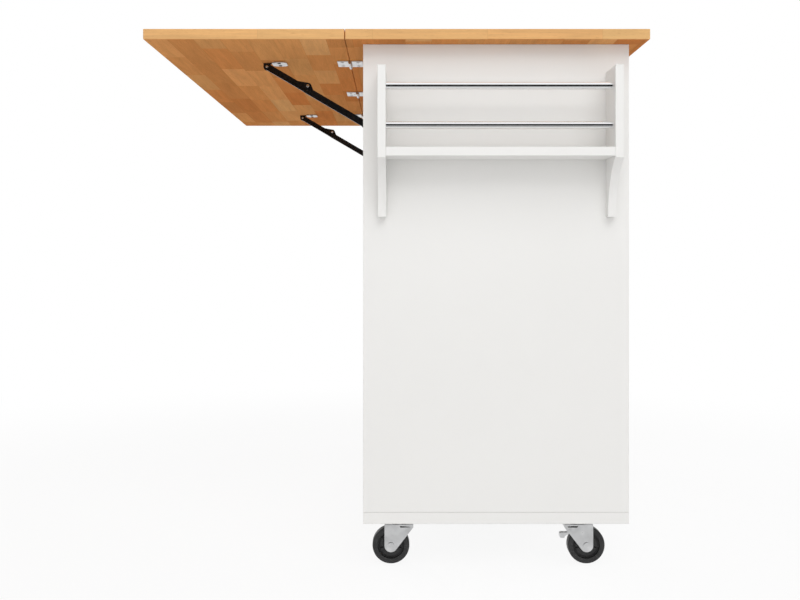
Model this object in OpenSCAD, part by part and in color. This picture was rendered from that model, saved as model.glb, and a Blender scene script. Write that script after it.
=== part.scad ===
// Drop leaf kitchen island on casters, with a rack on one end.
// X runs from the drop leaf to the front of the cabinet, Y from the rack end to the far end, Z up.
// The origin is on the floor, under the middle of the whole object's box.

/* [Worktop] */
// Length of the worktop and of the leaf
top_len = 1300; // [1100:10:1700]
// Width of the fixed worktop
main_top_w = 517.6; // [505:0.1:620]
// Width of the drop leaf
leaf_w = 341.6; // [300:0.1:400]
// Thickness of the butcher block boards
top_t = 18; // [16:1:30]
// Gap between the leaf and the fixed worktop
seam_gap = 0.8; // [0.6:0.2:3]
// Rounding of the worktop's edges
top_ease = 1.5; // [0.5:0.25:3]

/* [Cabinet] */
// Depth of the cabinet, back edge to front edge
cab_depth = 461; // [430:1:480]
// Overhang of the worktop past each end of the cabinet
end_overhang = 43.5; // [20:0.5:70]
// Overhang of the worktop past the cabinet's front
front_overhang = 27; // [26:1:40]
// Height of the end panels
panel_h = 812; // [700:1:880]
// Thickness of the end panels, partitions, doors and drawer fronts
board_t = 18; // [15:1:22]
// Thickness of the bottom board, which the end panels stand on
base_t = 20; // [16:1:30]
// Thickness of the back panel
back_t = 12; // [9:1:15]
// Distance from the cabinet's back edge to the back panel
back_inset = 12; // [8:1:16]
// Width of the two rails under the worktop
rail_w = 60; // [40:1:90]
// Thickness of the two rails under the worktop
rail_t = 18; // [15:1:25]
// Rounding of the painted boards' edges
board_ease = 1; // [0.5:0.25:2]

/* [Shelves] */
// Thickness of the adjustable shelves
shelf_t = 15; // [12:1:22]
// Height of the shelves above the bottom board
shelf_z = 400; // [200:1:600]
// Distance from the shelves' front edge to the doors
shelf_setback = 25; // [10:1:60]
// Diameter of the shelf pins
shelf_pin_d = 5; // [4:0.5:7]
// Length of each shelf pin, half of it in its hole
shelf_pin_len = 16; // [12:1:20]

/* [Doors and drawers] */
// Gap round the doors and drawer fronts
front_gap = 2.5; // [2:0.25:4]
// Distance that the fronts are set back from the cabinet's front edge
front_recess = 0.5; // [0:0.25:3]
// Width of the raised frame on the doors and drawer fronts
frame_w = 55; // [40:1:70]
// Depth of the sunk field inside that frame
field_d = 4; // [2:0.5:8]
// Height of the top drawer's front
top_drawer_h = 190; // [160:1:240]
// Thickness of the drawer sides and backs
drawer_t = 12; // [10:1:15]
// Thickness of the drawer bottoms
drawer_bottom_t = 6; // [4:0.5:8]
// Length of the drawer boxes
drawer_len = 390; // [300:1:398]
// Clearance between a drawer box and the partition
drawer_side_gap = 4; // [3:0.5:8]
// Height of the wooden drawer runners
runner_h = 18; // [12:1:24]
// Diameter of the knobs
knob_d = 28; // [22:1:36]
// Distance that the knobs stand out
knob_len = 22; // [18:1:25]
// Diameter of the door pivot pins
pivot_d = 6; // [5:0.5:7]
// Distance from a door's hinged edge and front face to its pivot
pivot_inset = 4.5; // [4.5:0.5:6]

/* [End rack] */
// Width of the rack over its two brackets
rack_w = 409; // [300:1:420]
// Depth of the rack, from the end panel
rack_depth = 84; // [75:1:110]
// Height of the rack's brackets
rack_h = 251; // [230:1:300]
// Distance from the worktop's underside to the top of the brackets
rack_drop = 49; // [20:1:90]
// Thickness of the brackets
rack_bracket_t = 14; // [12:1:20]
// Height of the brackets' deep part, above the cove
rack_deep_h = 154; // [150:1:180]
// Depth of the brackets at their foot
rack_foot = 20; // [12:1:30]
// Thickness of the rack's shelf
rack_shelf_t = 15; // [12:1:20]
// Distance from the top of the brackets to the top of the shelf
rack_shelf_drop = 136.5; // [120:0.5:138]
// Diameter of the rods
rod_d = 13; // [8:0.5:18]
// Distance from the front of the rack to the rods' axes
rod_setback = 18; // [14:1:30]
// Distance from the top of the brackets to the upper rod's axis
rod_upper_drop = 33; // [20:1:45]
// Distance from the top of the brackets to the lower rod's axis
rod_lower_drop = 99; // [80:1:110]
// Depth of the rods' holes in the brackets
rod_seat = 8; // [5:0.5:10]

/* [Leaf hinges] */
// Length of each hinge, along the seam
hinge_len = 62; // [50:1:80]
// Width of each hinge plate
hinge_plate_w = 24; // [20:1:28]
// Thickness of the hinge plates
hinge_plate_t = 1.6; // [1.2:0.1:2]
// Radius of the hinge knuckles
knuckle_r = 3; // [2.6:0.1:3.4]
// Diameter of the hinge pins
hinge_pin_d = 3; // [2:0.1:3.6]
// Distance from each end of the worktop to its hinge's middle
hinge_inset = 242; // [120:1:300]

/* [Folding stays] */
// Distance from the seam to the stay's pivot under the leaf
leaf_pivot_out = 159; // [157:0.5:161]
// Distance from the worktop's underside to that pivot
leaf_pivot_drop = 7; // [6.5:0.5:9]
// Distance from the back panel to the stay's pivot on the cabinet
cab_pivot_out = 13; // [12:0.5:14]
// Distance from the worktop's underside to the pivot on the cabinet
cab_pivot_drop = 117; // [115:0.5:120]
// Distance of the elbow pivot from the leaf pivot, along the open stay
elbow_along = 86.5; // [85:0.5:88]
// Distance that the elbow pivot stands above the open stay's middle line
elbow_rise = 7; // [6:0.5:8]
// Height of the arms' upright wall
arm_h = 12.5; // [10:0.5:13]
// Thickness of the arms' metal
arm_wall = 1.8; // [1.4:0.1:2.2]
// Width of the flange along the arms' lower edge
arm_flange = 8; // [5:0.5:12]
// Radius of the round eye at the elbow
elbow_eye_r = 7; // [6:0.5:8]
// Diameter of the rivets
rivet_d = 5; // [4:0.5:6]
// Diameter of the rivets' heads
rivet_head_d = 8; // [7:0.5:9]
// Distance from each end of the worktop to the middle of the stay's foot plate
stay_inset = 242; // [140:1:300]
// Thickness of the stay brackets' metal
stay_plate_t = 2; // [1.5:0.1:3]

/* [Casters] */
// Height of the casters, floor to cabinet
caster_h = 85; // [83:1:95]
// Diameter of the wheels
wheel_d = 66; // [60:1:66]
// Width of the wheels
wheel_w = 22; // [18:1:24]
// Horizontal distance from the swivel's axis to the axle
caster_trail = 15; // [12:1:18]
// Distance from the cabinet's back edge to the rear swivels
caster_rear_inset = 63; // [55:1:90]
// Distance from the cabinet's front edge to the front swivels
caster_front_inset = 79; // [55:1:90]
// Distance from each end of the cabinet to the swivels
caster_end_inset = 68; // [55:1:90]
// Size of the mounting plates along X
caster_plate_x = 64; // [60:1:70]
// Size of the mounting plates along Y
caster_plate_y = 52; // [50:1:60]
// Thickness of the caster's pressed metal
caster_sheet = 2.4; // [2:0.1:3]
// Diameter of the axles
axle_d = 8; // [6:0.5:10]
// Radius of the round foot of the fork's cheeks
cheek_r = 11.5; // [10:0.5:13]

/* [Screws] */
// Diameter of the screws' shanks
screw_d = 3.6; // [3:0.1:4]
// Diameter of the screws' heads
screw_head_d = 6.8; // [6:0.1:7.6]
// Height of the screws' heads
screw_head_h = 1.1; // [0.8:0.1:1.4]
// Length of the screws under their heads
screw_len = 13; // [11:0.5:14]

/* [Hidden] */

// Fits: a running pin, a still pin in its hole, moving faces, and still boards side by side
run_fit = 0.08;
still_fit = 0.05;
face_gap = 0.3;
board_gap = 0.2;
// More than enough to cut right through
past = 1;
// Smoothness of round pieces
$fn = 48;

// Worktop
rack_out = rack_depth - end_overhang;
total_w = main_top_w + seam_gap + leaf_w;
x_leaf_out = -total_w / 2;
x_front = total_w / 2;
x_seam = x_leaf_out + leaf_w + seam_gap / 2;
y_top_near = -(top_len + rack_out) / 2 + rack_out;
y_top_far = y_top_near + top_len;
z_base = caster_h + base_t;
z_under = z_base + panel_h;
z_top = z_under + top_t;

// Cabinet
x_cab_front = x_front - front_overhang;
x_cab_back = x_cab_front - cab_depth;
x_back_face = x_cab_back + back_inset;
x_back_inner = x_back_face + back_t;
y_cab_near = y_top_near + end_overhang;
y_cab_far = y_top_far - end_overhang;
y_in_near = y_cab_near + board_t;
y_in_far = y_cab_far - board_t;
z_rail = z_under - rail_t;
bay_w = (y_in_far - y_in_near - 2 * board_t) / 3;
y_part_near = y_in_near + bay_w;
y_part_far = y_in_far - bay_w - board_t;

// Fronts
x_front_face = x_cab_front - front_recess;
x_front_inner = x_front_face - board_t;
z_front_low = z_base + front_gap;
z_front_high = z_rail - front_gap;
low_drawer_h = (z_front_high - z_front_low - top_drawer_h - 2 * front_gap) / 2;
pivot_x = x_front_face - pivot_inset;
pivot_depth = 12;
shelf_x_front = x_front_inner - shelf_setback;
shelf_side_gap = 1;
shelf_pin_inset = 40;
hole_end = 0.5;
pivot_play = 0.5;
pivot_hole = pivot_d + 2 * still_fit;
door_hole = pivot_d + 2 * run_fit;
door_knob_drop = 200;
door_knob_z = z_front_high - door_knob_drop;
knob_boss_d = 12;
knob_lip = 4;
knob_inset = 30;
knob_screw_d = 4;
knob_screw_head_d = 8;
knob_screw_head_h = 2;
catch_len = 40;
catch_deep = 15;
catch_w = 12;
catch_drop = 100;

// Drawers, counted from the bottom: 0, 1, 2
function drawer_z(i) = z_front_low + i * (low_drawer_h + front_gap);
function drawer_h(i) = i == 2 ? top_drawer_h : low_drawer_h;
drawer_y_near = y_part_near + board_t;
drawer_y_far = y_part_far;
box_y_near = drawer_y_near + drawer_side_gap;
box_y_far = drawer_y_far - drawer_side_gap;
box_x_front = x_front_inner;
box_x_back = box_x_front - drawer_len;
box_lift = 20;
box_top_gap = 30;
runner_groove = 6;
runner_gap = 0.6;
runner_lift = 60;
runner_stop = 20;
runner_end_gap = 2;
runner_back = 5;
bottom_lift = 10;
bottom_groove = 5;

// Rack
x_rack_mid = (x_cab_back + x_cab_front) / 2;
y_rack_front = y_cab_near - rack_depth;
z_rack_top = z_under - rack_drop;
z_rack_low = z_rack_top - rack_h;
z_rack_shelf = z_rack_top - rack_shelf_drop - rack_shelf_t;
rod_y = y_rack_front + rod_setback;
// The cove is an arc that ends upright at the bracket's foot
cove_h = rack_h - rack_deep_h;
cove_d = rack_depth - rack_foot;
cove_r = (cove_d * cove_d + cove_h * cove_h) / (2 * cove_d);
rack_screw_d = 5;
rack_screw_len = board_t + rack_foot - 3;
rack_screw_head_d = 10;
rack_screw_head_h = 2.5;
rack_screw_end = 25;

// Leaf hinges
pin_z = z_under - knuckle_r - 0.4;
hinge_y = [y_top_near + hinge_inset, (y_top_near + y_top_far) / 2, y_top_far - hinge_inset];
knuckle_len = hinge_len / 3;
hinge_screw_x = 15;
hinge_screw_y = 20;

// Folding stays: the two pivots of the open stay, its length and its slope
foot_shift = 4;
stay_y = [y_top_near + stay_inset - foot_shift, y_top_far - stay_inset - foot_shift];
leaf_pivot = [x_seam - leaf_pivot_out, z_under - leaf_pivot_drop];
cab_pivot = [x_back_face - cab_pivot_out, z_under - cab_pivot_drop];
stay_span = norm(cab_pivot - leaf_pivot);
stay_slope = atan2(leaf_pivot[1] - cab_pivot[1], cab_pivot[0] - leaf_pivot[0]);
elbow_xz = leaf_pivot + elbow_along * [cos(stay_slope), -sin(stay_slope)]
    + elbow_rise * [sin(stay_slope), cos(stay_slope)];
arm_lap = 4;
flange_end = 2;
eye_run_in = 22;
eye_run_out = 12;
eye_crown = 3;
half_gap = face_gap / 2;
rivet_head_h = 1.2;
ear_r = 8;
foot_from = 10;
foot_to = 38;
foot_len = 46;
foot_round = 11;
foot_screw_x = 24;
foot_screw_pitch = 26;
stay_bracket_w = 24;
stay_bracket_h = 44;
stay_screw_pitch = 28;
stay_screw_inset = 14;
stay_screw_len = back_t - 1;

// Casters: rear ones trail to the back, front ones to the front
caster_x = [x_cab_back + caster_rear_inset, x_cab_front - caster_front_inset];
caster_y = [y_cab_near + caster_end_inset, y_cab_far - caster_end_inset];
axle_z = wheel_d / 2;
crown_z = wheel_d + 2;
crown_top = crown_z + caster_sheet;
fork_gap = wheel_w + 2;
kingpin_d = 8;
kingpin_head_d = 11;
kingpin_head_h = 2;
race_r = 13;
race_h = 7;
race_neck_r = 9;
caster_plate_round = 6;
caster_screw_x = 25;
caster_screw_y = 19;
axle_head_d = 12;
axle_head_h = 1.6;
cheek_corner = [25, crown_z - 2];
// A pressed slot in each cheek, under the crown
cheek_slot_from = 2.5;
cheek_slot_to = 17.5;
cheek_slot_h = 3.4;
cheek_slot_drop = 1;
wheel_hub_r = 9;
wheel_web_r = 19.5;
wheel_recess_r = 24;
wheel_recess_d = 4;
wheel_groove_d = 7.5;
wheel_round = 3;
// Two slots across the web, this far below the axle's level
slot_droop = 15;
slot_from = 14;
slot_w = 2.4;
pedal_pivot_drop = 7;
pedal_pivot = [14.5, crown_z - pedal_pivot_drop];
pedal_pin_d = 4;
pedal_eye_r = 4;
pedal_pin_end = 0.5;
// The nose that presses on the wheel, from the pedal's pivot
pedal_nose = [-1.5, -7.5];
pedal_w = 12;
pedal_tab = 9.5;
pedal_round = 3;
pedal_lip = 1;
pedal_reach = 32;
pedal_tab_z = 49.5;

WHITE = [0.93, 0.93, 0.92];
WOOD = [0.84, 0.62, 0.38];
BLACK = [0.05, 0.05, 0.055];
ZINC = [0.72, 0.73, 0.74];
CHROME = [0.85, 0.86, 0.88];
RUBBER = [0.13, 0.13, 0.135];
PLY = [0.86, 0.78, 0.64];

// ---- Shapes that many pieces share ----

// A flat rectangle with rounded corners, from the origin
module round_rect(w, h, r) {
    translate([r, 0]) square([w - 2 * r, h]);
    translate([0, r]) square([w, h - 2 * r]);
    for (x = [r, w - r], y = [r, h - r])
        translate([x, y]) circle(r);
}

// A board between two corners, with all its edges eased
module board(low, high, ease) {
    size = high - low;
    translate(low) intersection() {
        linear_extrude(size.z) round_rect(size.x, size.y, ease);
        translate([0, size.y, 0]) rotate([90, 0, 0]) linear_extrude(size.y) round_rect(size.x, size.z, ease);
        rotate([90, 0, 90]) linear_extrude(size.x) round_rect(size.y, size.z, ease);
    }
}

// A plain block between two corners
module block(low, high) {
    translate(low) cube(high - low);
}

// A flat outline in X and Z, given a thickness along Y from y1 to y2
module slab_y(y1, y2) {
    translate([0, y2, 0]) rotate([90, 0, 0]) linear_extrude(y2 - y1) children();
}

// A round bar along Y from y1 to y2
module bar_y(x, z, d, y1, y2) {
    translate([x, y2, z]) rotate([90, 0, 0]) cylinder(d = d, h = y2 - y1);
}

// A screw that points up: its head hangs under the given point
module screw_up(p, len = screw_len) {
    translate(p) cylinder(d = screw_d, h = len);
    translate(p - [0, 0, screw_head_h]) cylinder(d = screw_head_d, h = screw_head_h);
}

// The hole for such a screw
module screw_up_hole(p, len = screw_len) {
    translate(p - [0, 0, past]) cylinder(d = screw_d + 2 * still_fit, h = len + past + hole_end);
}

// ---- Worktop ----

function hinge_screws(side) = [for (y = hinge_y, dy = [-hinge_screw_y, hinge_screw_y])
    [x_seam + side * hinge_screw_x, y + dy, z_under - hinge_plate_t]];
function foot_screws() = [for (y = stay_y, dy = [-foot_screw_pitch / 2, foot_screw_pitch / 2])
    [leaf_pivot[0] + foot_screw_x, y + foot_shift + dy, z_under - stay_plate_t]];

module main_top() {
    color(WOOD) difference() {
        board([x_seam + seam_gap / 2, y_top_near, z_under], [x_front, y_top_far, z_top], top_ease);
        for (p = hinge_screws(1)) screw_up_hole(p);
    }
}

module drop_leaf() {
    color(WOOD) difference() {
        board([x_leaf_out, y_top_near, z_under], [x_seam - seam_gap / 2, y_top_far, z_top], top_ease);
        for (p = concat(hinge_screws(-1), foot_screws())) screw_up_hole(p);
    }
}

// One plate of a butt hinge: side is 1 for the fixed plate and -1 for the leaf's plate
module hinge_plate(y, side) {
    knuckles = side > 0 ? [0, 2] : [1];
    clear = knuckle_r + 0.5;
    z_low = z_under - hinge_plate_t;
    difference() {
        union() {
            block([side > 0 ? x_seam + clear : x_seam - hinge_plate_w, y - hinge_len / 2, z_low],
                [side > 0 ? x_seam + hinge_plate_w : x_seam - clear, y + hinge_len / 2, z_under]);
            for (k = knuckles) {
                y1 = y - hinge_len / 2 + k * knuckle_len + (k > 0 ? half_gap : 0);
                y2 = y - hinge_len / 2 + (k + 1) * knuckle_len - (k < 2 ? half_gap : 0);
                bar_y(x_seam, pin_z, 2 * knuckle_r, y1, y2);
                block([side > 0 ? x_seam : x_seam - clear - past, y1, z_low],
                    [side > 0 ? x_seam + clear + past : x_seam, y2, z_under]);
            }
        }
        bar_y(x_seam, pin_z, hinge_pin_d + 2 * run_fit, y - hinge_len, y + hinge_len);
        for (p = hinge_screws(side)) screw_up_hole(p);
    }
}

module hinge_plates_fixed() { color(ZINC) for (y = hinge_y) hinge_plate(y, 1); }
module hinge_plates_leaf() { color(ZINC) for (y = hinge_y) hinge_plate(y, -1); }

module hinge_pins() {
    color(ZINC) for (y = hinge_y)
        bar_y(x_seam, pin_z, hinge_pin_d, y - hinge_len / 2, y + hinge_len / 2);
}

module top_screws() { color(ZINC) for (p = hinge_screws(1)) screw_up(p); }
module leaf_screws() { color(ZINC) for (p = concat(hinge_screws(-1), foot_screws())) screw_up(p); }

// ---- Folding stays ----

// Draws an outline in the open stay's own frame: the leaf pivot is its origin,
// and its first axis runs down to the pivot on the cabinet
module along_stay(y1, y2) {
    slab_y(y1, y2) translate(leaf_pivot) rotate(-stay_slope) children();
}

// The round eye at the elbow, blended into the arm's upper edge
module elbow_eye(from, to) {
    translate([elbow_along, elbow_rise]) circle(elbow_eye_r);
    crown = elbow_rise + sqrt(elbow_eye_r * elbow_eye_r - eye_crown * eye_crown);
    polygon([[elbow_along - from, arm_h / 2], [elbow_along - eye_crown, crown],
        [elbow_along + eye_crown, crown], [elbow_along + to, arm_h / 2],
        [elbow_along + to, 0], [elbow_along - from, 0]]);
}

// A rivet head with its shank, along +Y from y; turned over where up is -1
module half_rivet(x, z, y, shank, up) {
    bar_y(x, z, rivet_d, min(y, y + up * shank), max(y, y + up * shank));
    bar_y(x, z, rivet_head_d, min(y, y - up * rivet_head_h), max(y, y - up * rivet_head_h));
}

// The short arm, which hangs from the leaf, on the near side of the stay's middle
module stay_upper_arm(y) {
    y2 = y - half_gap;
    y1 = y2 - arm_wall;
    color(BLACK) {
        difference() {
            union() {
                along_stay(y1, y2) {
                    circle(arm_h / 2);
                    translate([0, -arm_h / 2]) square([elbow_along + arm_lap, arm_h]);
                    elbow_eye(eye_run_in, arm_lap);
                }
                along_stay(y2 - arm_flange, y2)
                    translate([flange_end, -arm_h / 2]) square([elbow_along - 2 * flange_end, arm_wall]);
            }
            bar_y(leaf_pivot[0], leaf_pivot[1], rivet_d + 2 * run_fit, y1 - past, y2 + past);
            bar_y(elbow_xz[0], elbow_xz[1], rivet_d + 2 * still_fit, y1 - past, y2 + past);
        }
        half_rivet(elbow_xz[0], elbow_xz[1], y1 - still_fit, arm_wall + still_fit, 1);
    }
}

// The long arm, which is pivoted on the cabinet, on the far side of the stay's middle
module stay_lower_arm(y) {
    y1 = y + half_gap;
    y2 = y1 + arm_wall;
    color(BLACK) {
        difference() {
            union() {
                along_stay(y1, y2) {
                    translate([stay_span, 0]) circle(arm_h / 2);
                    translate([elbow_along - arm_lap, -arm_h / 2])
                        square([stay_span - elbow_along + arm_lap, arm_h]);
                    elbow_eye(arm_lap, eye_run_out);
                }
                along_stay(y1, y1 + arm_flange) translate([elbow_along + flange_end, -arm_h / 2])
                    square([stay_span - elbow_along - 2 * flange_end, arm_wall]);
            }
            bar_y(cab_pivot[0], cab_pivot[1], rivet_d + 2 * run_fit, y1 - past, y2 + past);
            bar_y(elbow_xz[0], elbow_xz[1], rivet_d + 2 * still_fit, y1 - past, y2 + past);
        }
        half_rivet(elbow_xz[0], elbow_xz[1], y2 + still_fit, arm_wall + still_fit, -1);
    }
}

// Foot plate and ear under the leaf, on the far side of the short arm
module stay_leaf_bracket(y) {
    ear_y = y + half_gap;
    difference() {
        union() {
            slab_y(ear_y, ear_y + stay_plate_t) {
                translate(leaf_pivot) circle(leaf_pivot_drop);
                translate([leaf_pivot[0] - leaf_pivot_drop, leaf_pivot[1]])
                    square([2 * leaf_pivot_drop, leaf_pivot_drop]);
                translate([leaf_pivot[0], z_under - stay_plate_t])
                    square([foot_from + past, stay_plate_t]);
            }
            translate([leaf_pivot[0] + foot_from, y + foot_shift - foot_len / 2, z_under - stay_plate_t])
                linear_extrude(stay_plate_t) round_rect(foot_to - foot_from, foot_len, foot_round);
        }
        bar_y(leaf_pivot[0], leaf_pivot[1], rivet_d + 2 * still_fit, ear_y - past,
            ear_y + stay_plate_t + past);
        for (p = foot_screws()) screw_up_hole(p);
    }
}

module stay_leaf_brackets() { color(BLACK) for (y = stay_y) stay_leaf_bracket(y); }

function stay_screws_at() = [for (y = stay_y, dz = [-stay_screw_pitch / 2, stay_screw_pitch / 2])
    [x_back_face - stay_plate_t, y - half_gap - stay_screw_inset, cab_pivot[1] + dz]];

// A screw that points along +X
module screw_x(p, len) {
    translate(p) rotate([0, 90, 0]) cylinder(d = screw_d, h = len);
    translate(p - [screw_head_h, 0, 0]) rotate([0, 90, 0]) cylinder(d = screw_head_d, h = screw_head_h);
}

module screw_x_hole(p, len) {
    translate(p - [past, 0, 0]) rotate([0, 90, 0])
        cylinder(d = screw_d + 2 * still_fit, h = len + past + hole_end);
}

// Plate and ear on the back panel, on the near side of the long arm
module stay_cabinet_bracket(y) {
    ear_y = y - half_gap;
    difference() {
        union() {
            slab_y(ear_y - stay_plate_t, ear_y) {
                translate(cab_pivot) circle(ear_r);
                translate([cab_pivot[0], cab_pivot[1] - ear_r])
                    square([x_back_face - cab_pivot[0], 2 * ear_r]);
            }
            block([x_back_face - stay_plate_t, ear_y - stay_bracket_w, cab_pivot[1] - stay_bracket_h / 2],
                [x_back_face, ear_y, cab_pivot[1] + stay_bracket_h / 2]);
        }
        bar_y(cab_pivot[0], cab_pivot[1], rivet_d + 2 * still_fit, ear_y - stay_plate_t - past, ear_y + past);
        for (p = stay_screws_at()) screw_x_hole(p, stay_screw_len);
    }
}

module stay_cabinet_brackets() { color(BLACK) for (y = stay_y) stay_cabinet_bracket(y); }

module stay_leaf_rivets() {
    color(ZINC) for (y = stay_y) {
        head_y = y - half_gap - arm_wall - face_gap;
        tail_y = y + half_gap + stay_plate_t;
        half_rivet(leaf_pivot[0], leaf_pivot[1], head_y, tail_y - head_y, 1);
        bar_y(leaf_pivot[0], leaf_pivot[1], rivet_head_d, tail_y, tail_y + rivet_head_h);
    }
}

module stay_cabinet_rivets() {
    color(ZINC) for (y = stay_y) {
        head_y = y - half_gap - stay_plate_t;
        tail_y = y + half_gap + arm_wall + face_gap;
        half_rivet(cab_pivot[0], cab_pivot[1], head_y, tail_y - head_y, 1);
        bar_y(cab_pivot[0], cab_pivot[1], rivet_head_d, tail_y, tail_y + rivet_head_h);
    }
}

module stay_screws() { color(ZINC) for (p = stay_screws_at()) screw_x(p, stay_screw_len); }

// ---- Cabinet ----

function shelf_pins_at() = [for (y = [y_in_near, y_part_near, y_part_far + board_t, y_in_far],
    x = [x_back_inner + shelf_pin_inset, shelf_x_front - shelf_pin_inset])
    [x, y, z_base + shelf_z - shelf_pin_d / 2]];

module shelf_pin_holes() {
    half = shelf_pin_len / 2 + hole_end;
    for (p = shelf_pins_at())
        bar_y(p.x, p.z, shelf_pin_d + 2 * still_fit, p.y - half, p.y + half);
}

function rack_screws_at() = [for (side = [-1, 1],
    z = [z_rack_low + rack_screw_end, z_rack_top - rack_screw_end])
    [x_rack_mid + side * (rack_w - rack_bracket_t) / 2, y_in_near, z]];

module rack_screw_holes() {
    for (p = rack_screws_at())
        bar_y(p.x, p.z, rack_screw_d + 2 * still_fit, p.y - rack_screw_len - hole_end, p.y + past);
}

module end_panel_near() {
    color(WHITE) difference() {
        board([x_cab_back, y_cab_near, z_base], [x_cab_front, y_in_near, z_under], board_ease);
        shelf_pin_holes();
        rack_screw_holes();
    }
}

module end_panel_far() {
    color(WHITE) difference() {
        board([x_cab_back, y_in_far, z_base], [x_cab_front, y_cab_far, z_under], board_ease);
        shelf_pin_holes();
    }
}

function pivots_at() = [[pivot_x, y_in_near + front_gap + pivot_inset],
    [pivot_x, y_in_far - front_gap - pivot_inset]];
function caster_screws_at() = [for (cx = caster_x, cy = caster_y, dx = [-1, 1], dy = [-1, 1])
    [cx + dx * caster_screw_x, cy + dy * caster_screw_y, caster_h - caster_sheet]];

module bottom_board() {
    color(WHITE) difference() {
        board([x_cab_back, y_cab_near, caster_h], [x_cab_front, y_cab_far, z_base], board_ease);
        for (p = caster_screws_at()) screw_up_hole(p);
        for (p = pivots_at())
            translate([p.x, p.y, z_base - pivot_depth]) cylinder(d = pivot_hole, h = pivot_depth + past);
    }
}

module partition(y) {
    color(WHITE) difference() {
        board([x_back_inner, y, z_base], [x_cab_front, y + board_t, z_rail], board_ease);
        shelf_pin_holes();
    }
}

module back_panel() {
    color(WHITE) difference() {
        block([x_back_face, y_in_near, z_base], [x_back_inner, y_in_far, z_under]);
        for (p = stay_screws_at()) screw_x_hole(p, stay_screw_len);
    }
}

module top_rails() {
    color(WHITE) difference() {
        union() {
            board([x_cab_front - rail_w, y_in_near, z_rail], [x_cab_front, y_in_far, z_under], board_ease);
            board([x_back_inner, y_in_near, z_rail], [x_back_inner + rail_w, y_in_far, z_under], board_ease);
        }
        for (p = pivots_at())
            translate([p.x, p.y, z_rail - past]) cylinder(d = pivot_hole, h = pivot_depth + past);
    }
}

module shelf(y) {
    color(WHITE) board([x_back_inner + shelf_side_gap, y + shelf_side_gap, z_base + shelf_z],
        [shelf_x_front, y + bay_w - shelf_side_gap, z_base + shelf_z + shelf_t], board_ease);
}

module shelf_pins() {
    color(ZINC) for (p = shelf_pins_at())
        bar_y(p.x, p.z, shelf_pin_d, p.y - shelf_pin_len / 2, p.y + shelf_pin_len / 2);
}

// ---- Doors ----

// A front with a raised frame round a sunk field
module framed_front(low, high) {
    difference() {
        board(low, high, board_ease);
        block([high.x - field_d, low.y + frame_w, low.z + frame_w],
            [high.x + past, high.y - frame_w, high.z - frame_w]);
    }
}

// side is -1 for the near door and 1 for the far door, which is hinged on the far end
module door(side) {
    low_y = side < 0 ? y_in_near + front_gap : y_part_far + board_t + front_gap;
    high_y = side < 0 ? y_part_near - front_gap : y_in_far - front_gap;
    pivot = pivots_at()[side < 0 ? 0 : 1];
    color(WHITE) difference() {
        framed_front([x_front_inner, low_y, z_front_low], [x_front_face, high_y, z_front_high]);
        for (z = [z_front_low - past, z_front_high - pivot_depth])
            translate([pivot.x, pivot.y, z]) cylinder(d = door_hole, h = pivot_depth + past);
        knob_hole(x_front_face, side < 0 ? high_y - knob_inset : low_y + knob_inset, door_knob_z);
    }
}

// A turned knob standing out along +X from the given point, on a screw through the board behind it
module knob(x, y, z, board) {
    color(ZINC) translate([x, y, z]) rotate([0, 90, 0]) {
        rotate_extrude() polygon([[0, 0], [knob_boss_d / 2, 0], [knob_boss_d / 2 - 1, 3],
            [knob_boss_d / 2 - 2, knob_len / 2], [knob_d / 2 - 1, knob_len - 1.5 * knob_lip],
            [knob_d / 2, knob_len - knob_lip], [knob_d / 2, knob_len - knob_lip / 2],
            [knob_d / 2 - 2, knob_len - 1], [knob_d / 4, knob_len], [0, knob_len]]);
        translate([0, 0, -board]) cylinder(d = knob_screw_d, h = board + past);
        translate([0, 0, -board - knob_screw_head_h]) cylinder(d = knob_screw_head_d, h = knob_screw_head_h);
    }
}

module knob_hole(x, y, z) {
    translate([x - board_t - past, y, z]) rotate([0, 90, 0])
        cylinder(d = knob_screw_d + 2 * still_fit, h = board_t + 2 * past);
}

module door_knob(side) {
    y = side < 0 ? y_part_near - front_gap - knob_inset : y_part_far + board_t + front_gap + knob_inset;
    knob(x_front_face, y, door_knob_z, board_t);
}

// Pins that stand in the bottom board and in the front rail, with a washer under each door
module door_pivots() {
    washer = front_gap - face_gap;
    pin_len = 2 * (pivot_depth - pivot_play) + front_gap;
    color(ZINC) for (p = pivots_at()) {
        translate([p.x, p.y, z_base - pivot_depth + pivot_play]) cylinder(d = pivot_d, h = pin_len);
        translate([p.x, p.y, z_base]) cylinder(d = 2 * pivot_inset - 2 * face_gap, h = washer);
        translate([p.x, p.y, z_rail + pivot_depth - pivot_play - pin_len]) cylinder(d = pivot_d, h = pin_len);
        translate([p.x, p.y, z_rail - washer]) cylinder(d = 2 * pivot_inset - 2 * face_gap, h = washer);
    }
}

// Magnetic catches on the partitions, behind the doors' free edges
module door_catches() {
    color(BLACK) for (y = [y_part_near - catch_w, y_part_far + board_t])
        block([x_front_inner - face_gap - catch_deep, y, z_rail - catch_drop - catch_len],
            [x_front_inner - face_gap, y + catch_w, z_rail - catch_drop]);
}

// ---- Drawers ----

module drawer_front(i) {
    low_y = drawer_y_near + front_gap;
    high_y = drawer_y_far - front_gap;
    color(WHITE) difference() {
        framed_front([x_front_inner, low_y, drawer_z(i)], [x_front_face, high_y, drawer_z(i) + drawer_h(i)]);
        knob_hole(x_front_face, (low_y + high_y) / 2, drawer_z(i) + drawer_h(i) / 2);
    }
}

module drawer_knob(i) {
    knob(x_front_face - field_d, (drawer_y_near + drawer_y_far) / 2, drawer_z(i) + drawer_h(i) / 2,
        board_t - field_d);
}

function box_z(i) = drawer_z(i) + box_lift;
function box_h(i) = drawer_h(i) - box_lift - box_top_gap;
function runner_z(i) = box_z(i) + runner_lift;

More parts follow.
